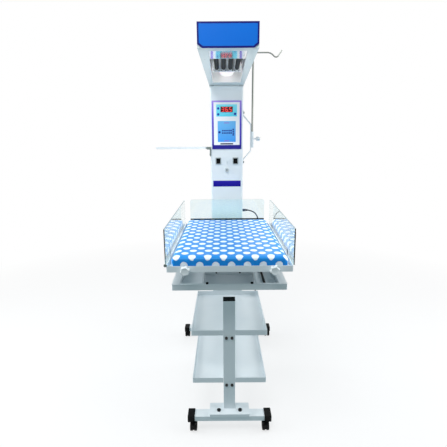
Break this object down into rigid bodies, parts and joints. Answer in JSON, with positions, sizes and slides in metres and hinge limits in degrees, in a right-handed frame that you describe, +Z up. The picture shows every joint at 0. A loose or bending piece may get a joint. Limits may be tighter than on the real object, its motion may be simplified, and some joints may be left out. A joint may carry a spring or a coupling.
{
  "type": "infant radiant warmer",
  "caption": "Infant radiant warmer: overhead heater head on a column over a tilting bassinet with clear drop-down panels, on a wheeled stand with storage shelves.",
  "frame": {"origin": "on the floor, at the centre of the plan's bounding box without the mains lead", "axes": "+X to the right as seen from the front of the bed, +Y from the bed's front towards the column, +Z up"},
  "size_m": [0.7593, 1.092, 1.9963],
  "materials": {
    "white_powder_coat": "smooth white powder coat",
    "black_plastic": "fine moulded grain",
    "caster_tread": "smooth nylon and rubber tread",
    "black_zinc": "black zinc plating",
    "clip_steel": "brushed",
    "bezel_plastic": "printed film",
    "window_plastic": "tinted window",
    "keypad_plastic": "membrane film",
    "circuit_board": "solder resist",
    "fascia_blue": "gloss film",
    "polished_aluminium": "polished",
    "heater_ceramic": "dark glazed ceramic tube",
    "chrome_wire": "plated wire",
    "lamp_diffuser": "opal diffuser",
    "clear_acrylic": "polished clear sheet",
    "mattress_cover": "coated cloth with white dots",
    "white_plastic": "moulded",
    "black_pvc": "matt PVC"
  },
  "bodies": {
    "stand": {"front_crossbar": "white_powder_coat", "rear_crossbar": "white_powder_coat", "base_spine": "white_powder_coat", "end_caps": "black_plastic", "shelf_posts": "white_powder_coat", "front_post_foot": "white_powder_coat", "frame_bolts": "black_zinc", "upper_shelf": "white_powder_coat", "lower_shelf": "white_powder_coat", "shelf_arms": "white_powder_coat", "column_foot": "white_powder_coat", "column_shell": "white_powder_coat", "column_back_cover": "white_powder_coat", "column_cap": "white_powder_coat", "display_bezel": "bezel_plastic", "display_window": "window_plastic", "display_keypad": "keypad_plastic", "control_board": "circuit_board", "switch_frames": "black_plastic", "probe_socket": "black_plastic", "bed_frame": "white_powder_coat", "bed_frame_fittings": "black_plastic", "bed_bracket": "white_powder_coat", "monitor_bracket": "black_zinc", "pole_bracket": "white_powder_coat", "strain_relief": "black_pvc", "mains_cord": "black_pvc", "mains_coil": "black_pvc", "mains_plug": "black_pvc"},
    "head": {"head_hood": "white_powder_coat", "head_fascia": "fascia_blue", "head_swivel_plate": "white_powder_coat", "reflector": "polished_aluminium", "heater_tubes": "heater_ceramic", "heater_guard": "chrome_wire", "lamp_dome": "lamp_diffuser"},
    "bassinet": {"bassinet_tray": "white_powder_coat", "mattress": "mattress_cover", "panel_hinges": "white_powder_coat", "rear_panel": "clear_acrylic"},
    "left_panel": {"left_panel": "clear_acrylic", "left_panel_clips": "clip_steel"},
    "right_panel": {"right_panel": "clear_acrylic", "right_panel_clips": "clip_steel"},
    "left_bed_knob": {"left_bed_knob": "white_plastic"},
    "right_bed_knob": {"right_bed_knob": "white_plastic"},
    "monitor_tray": {"monitor_tray": "white_powder_coat"},
    "infusion_pole": {"infusion_pole": "chrome_wire"},
    "pole_knob": {"pole_knob": "white_plastic"},
    "left_rocker": {"left_rocker": "black_plastic"},
    "right_rocker": {"right_rocker": "black_plastic"},
    "front_left_caster": {"front_left_caster_frame": "black_plastic"},
    "front_left_wheels": {"front_left_caster_wheels": "caster_tread"},
    "front_right_caster": {"front_right_caster_frame": "black_plastic"},
    "front_right_wheels": {"front_right_caster_wheels": "caster_tread"},
    "rear_left_caster": {"rear_left_caster_frame": "black_plastic"},
    "rear_left_wheels": {"rear_left_caster_wheels": "caster_tread"},
    "rear_right_caster": {"rear_right_caster_frame": "black_plastic"},
    "rear_right_wheels": {"rear_right_caster_wheels": "caster_tread"}
  },
  "joints": [
    {"name": "front_left_caster_swivel", "type": "hinge", "parent": "stand", "child": "front_left_caster", "pos_m": [-0.1406, -0.345, 0.062], "axis": [0, 0, 1], "continuous": true},
    {"name": "front_left_wheel_spin", "type": "hinge", "parent": "front_left_caster", "child": "front_left_wheels", "pos_m": [-0.1406, -0.357, 0.025], "axis": [1, 0, 0], "continuous": true},
    {"name": "front_right_caster_swivel", "type": "hinge", "parent": "stand", "child": "front_right_caster", "pos_m": [0.2334, -0.345, 0.062], "axis": [0, 0, 1], "continuous": true},
    {"name": "front_right_wheel_spin", "type": "hinge", "parent": "front_right_caster", "child": "front_right_wheels", "pos_m": [0.2334, -0.357, 0.025], "axis": [1, 0, 0], "continuous": true},
    {"name": "rear_left_caster_swivel", "type": "hinge", "parent": "stand", "child": "rear_left_caster", "pos_m": [-0.2616, 0.509, 0.062], "axis": [0, 0, 1], "continuous": true},
    {"name": "rear_left_wheel_spin", "type": "hinge", "parent": "rear_left_caster", "child": "rear_left_wheels", "pos_m": [-0.2616, 0.521, 0.025], "axis": [1, 0, 0], "continuous": true},
    {"name": "rear_right_caster_swivel", "type": "hinge", "parent": "stand", "child": "rear_right_caster", "pos_m": [0.3544, 0.509, 0.062], "axis": [0, 0, 1], "continuous": true},
    {"name": "rear_right_wheel_spin", "type": "hinge", "parent": "rear_right_caster", "child": "rear_right_wheels", "pos_m": [0.3544, 0.521, 0.025], "axis": [1, 0, 0], "continuous": true},
    {"name": "head_swivel", "type": "hinge", "parent": "stand", "child": "head", "pos_m": [0.0464, 0.3645, 1.79], "axis": [0, 0, 1], "range_deg": [-90, 35]},
    {"name": "bed_tilt", "type": "hinge", "parent": "stand", "child": "bassinet", "pos_m": [0.0464, -0.14, 0.901], "axis": [1, 0, 0], "range_deg": [-10, 10]},
    {"name": "left_panel_drop", "type": "hinge", "parent": "bassinet", "child": "left_panel", "pos_m": [-0.2201, -0.14, 0.958], "axis": [0, 1, 0], "range_deg": [-180, 0]},
    {"name": "right_panel_drop", "type": "hinge", "parent": "bassinet", "child": "right_panel", "pos_m": [0.3129, -0.14, 0.958], "axis": [0, 1, 0], "range_deg": [0, 180]},
    {"name": "left_bed_knob_turn", "type": "hinge", "parent": "bassinet", "child": "left_bed_knob", "pos_m": [-0.1366, -0.522, 0.95], "axis": [0, 1, 0], "range_deg": [-180, 180]},
    {"name": "right_bed_knob_turn", "type": "hinge", "parent": "bassinet", "child": "right_bed_knob", "pos_m": [0.2294, -0.522, 0.95], "axis": [0, 1, 0], "range_deg": [-180, 180]},
    {"name": "monitor_tray_fold", "type": "hinge", "parent": "stand", "child": "monitor_tray", "pos_m": [-0.0716, 0.356, 1.431], "axis": [0, 1, 0], "range_deg": [-90, 0]},
    {"name": "pole_slide", "type": "slide", "parent": "stand", "child": "infusion_pole", "axis": [0, 0, 1], "range_m": [-0.2, 0.04]},
    {"name": "pole_knob_turn", "type": "hinge", "parent": "stand", "child": "pole_knob", "pos_m": [0.2064, 0.34, 1.487], "axis": [1, 0, 0], "range_deg": [-180, 180]},
    {"name": "left_rocker_rock", "type": "hinge", "parent": "stand", "child": "left_rocker", "pos_m": [-0.0066, 0.2875, 1.3535], "axis": [1, 0, 0], "range_deg": [-16, 0]},
    {"name": "right_rocker_rock", "type": "hinge", "parent": "stand", "child": "right_rocker", "pos_m": [0.0994, 0.2875, 1.3535], "axis": [1, 0, 0], "range_deg": [-16, 0]}
  ]
}
